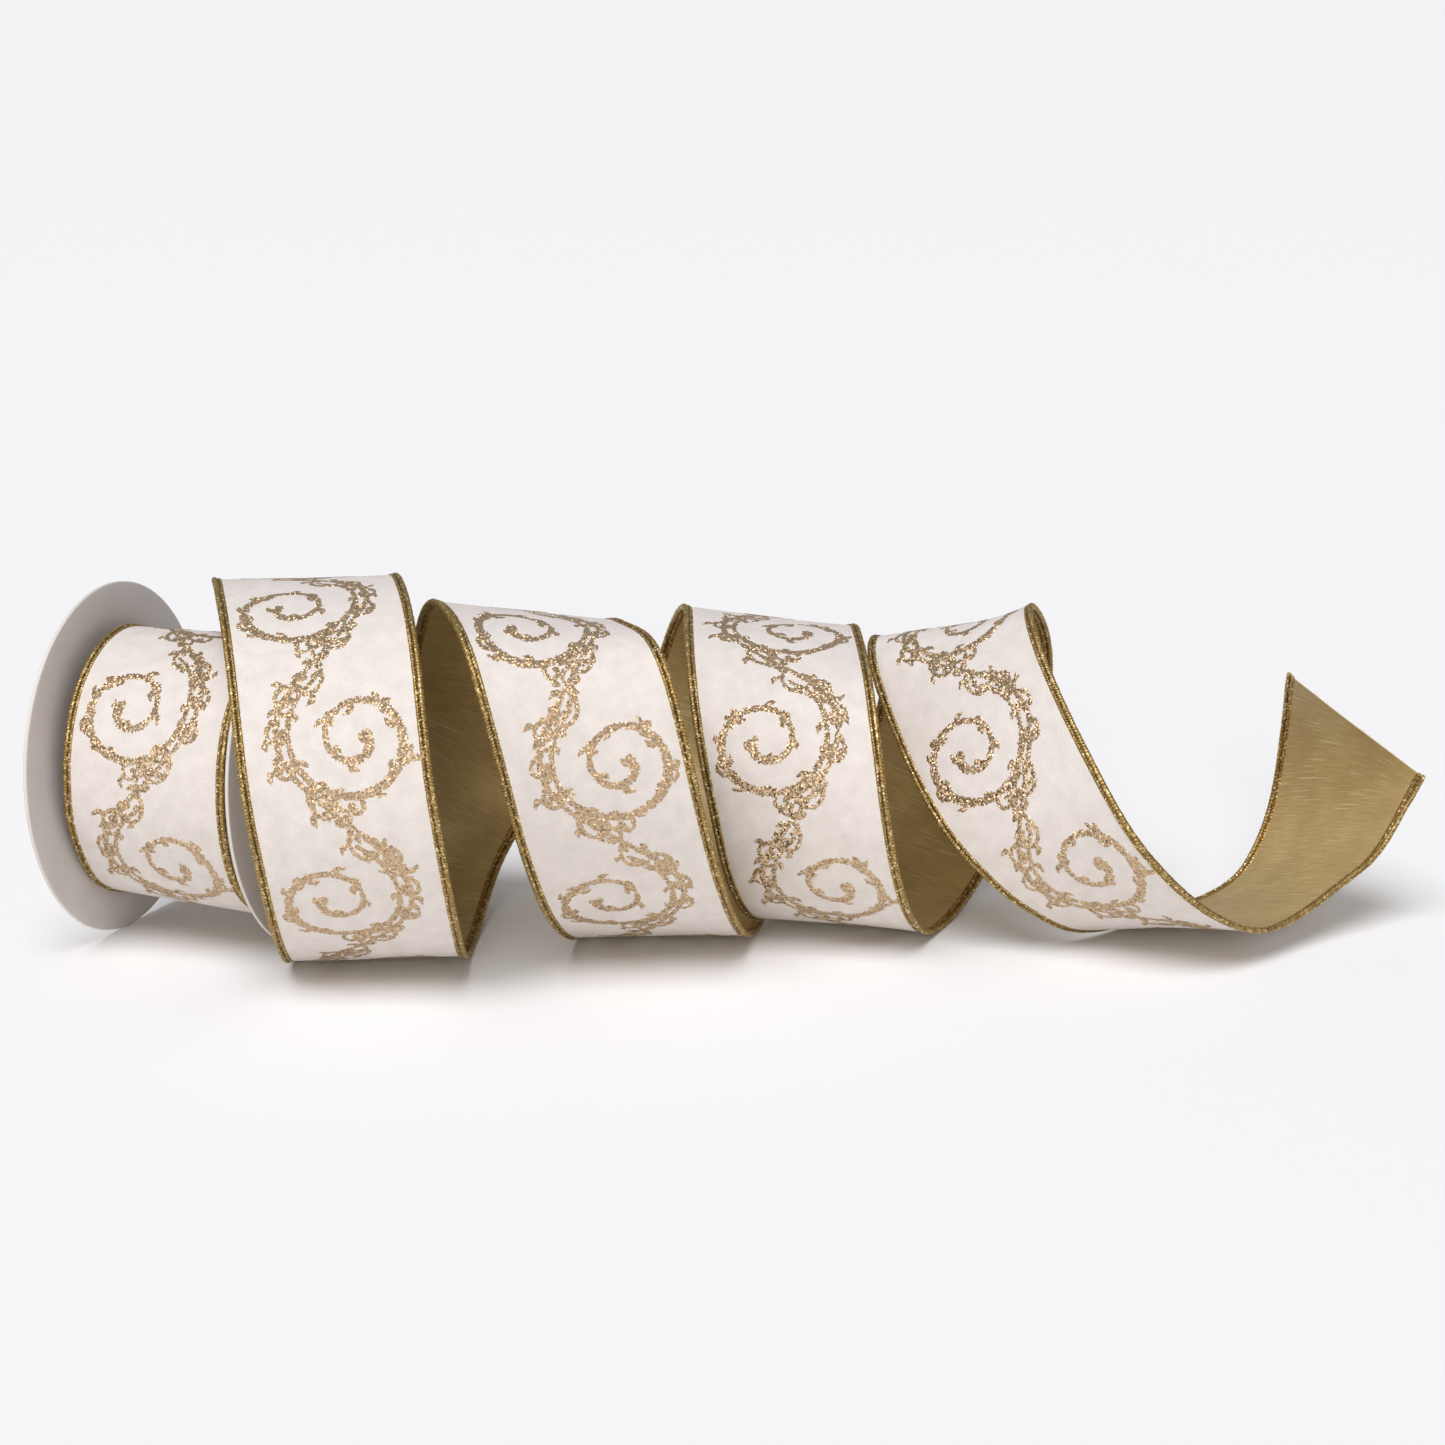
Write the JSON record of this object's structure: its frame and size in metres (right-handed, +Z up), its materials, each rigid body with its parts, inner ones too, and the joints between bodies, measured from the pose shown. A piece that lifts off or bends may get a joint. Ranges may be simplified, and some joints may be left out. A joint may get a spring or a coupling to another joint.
{
  "type": "ribbon spool",
  "caption": "Flanged spool of wide wired-edge ribbon lying on its side, with the ribbon's first turns drawn off as an open coil that ends in a rising tail.",
  "frame": {"origin": "on the table under the centre of the object's bounding box", "axes": "+X along the drawn-off ribbon, from the spool to the tail; +Z up from the table; -Y is the front"},
  "size_m": [0.4915, 0.1912, 0.1362],
  "materials": {
    "flange_board": "satin coated board",
    "tube_board": "raw spiral-wound board",
    "ribbon_cloth": "white velvety face with gold glitter scrollwork, gold slubbed backing",
    "gold_edge": "metallic gold overlock thread over wire"
  },
  "bodies": {
    "loop_1": {"lead_off_cloth": "ribbon_cloth", "lead_off_edge_left": "gold_edge", "lead_off_edge_right": "gold_edge", "rim_climb_cloth": "ribbon_cloth", "rim_climb_edge_left": "gold_edge", "rim_climb_edge_right": "gold_edge", "loop_1_front_cloth": "ribbon_cloth", "loop_1_front_edge_left": "gold_edge", "loop_1_front_edge_right": "gold_edge", "loop_1_back_cloth": "ribbon_cloth", "loop_1_back_edge_left": "gold_edge", "loop_1_back_edge_right": "gold_edge"},
    "spool": {"core_tube": "tube_board", "left_flange": "flange_board", "right_flange": "flange_board", "wound_cloth": "ribbon_cloth", "wound_edge_left": "gold_edge", "wound_edge_right": "gold_edge"},
    "loop_2": {"loop_2_front_cloth": "ribbon_cloth", "loop_2_front_edge_left": "gold_edge", "loop_2_front_edge_right": "gold_edge", "loop_2_back_cloth": "ribbon_cloth", "loop_2_back_edge_left": "gold_edge", "loop_2_back_edge_right": "gold_edge"},
    "loop_3": {"loop_3_front_cloth": "ribbon_cloth", "loop_3_front_edge_left": "gold_edge", "loop_3_front_edge_right": "gold_edge", "loop_3_back_cloth": "ribbon_cloth", "loop_3_back_edge_left": "gold_edge", "loop_3_back_edge_right": "gold_edge"},
    "loop_4": {"loop_4_front_cloth": "ribbon_cloth", "loop_4_front_edge_left": "gold_edge", "loop_4_front_edge_right": "gold_edge"},
    "tail": {"tail_cloth": "ribbon_cloth", "tail_edge_left": "gold_edge", "tail_edge_right": "gold_edge"}
  },
  "joints": [
    {"name": "spool_turn", "type": "hinge", "parent": "loop_1", "child": "spool", "pos_m": [-0.22175, 0.01918, 0.06277], "axis": [0.9393, -0.3419, 0.0279], "range_deg": [-20, 30]},
    {"name": "coil_draw", "type": "slide", "parent": "loop_1", "child": "loop_2", "axis": [1, 0, 0], "range_m": [0, 0.012]},
    {"name": "coil_draw_3", "type": "slide", "parent": "loop_2", "child": "loop_3", "axis": [1, 0, 0], "range_m": [0, 0.012]},
    {"name": "coil_draw_4", "type": "slide", "parent": "loop_3", "child": "loop_4", "axis": [1, 0, 0], "range_m": [0, 0.012]},
    {"name": "tail_lift", "type": "hinge", "parent": "loop_4", "child": "tail", "pos_m": [0.171, 0.003, 0.0062], "axis": [0.7032, -0.6922, 0.1621], "range_deg": [0, 20]}
  ],
  "couplings": [
    {"joint": "coil_draw_3", "follows": "coil_draw", "ratio": 1},
    {"joint": "coil_draw_4", "follows": "coil_draw", "ratio": 1}
  ]
}
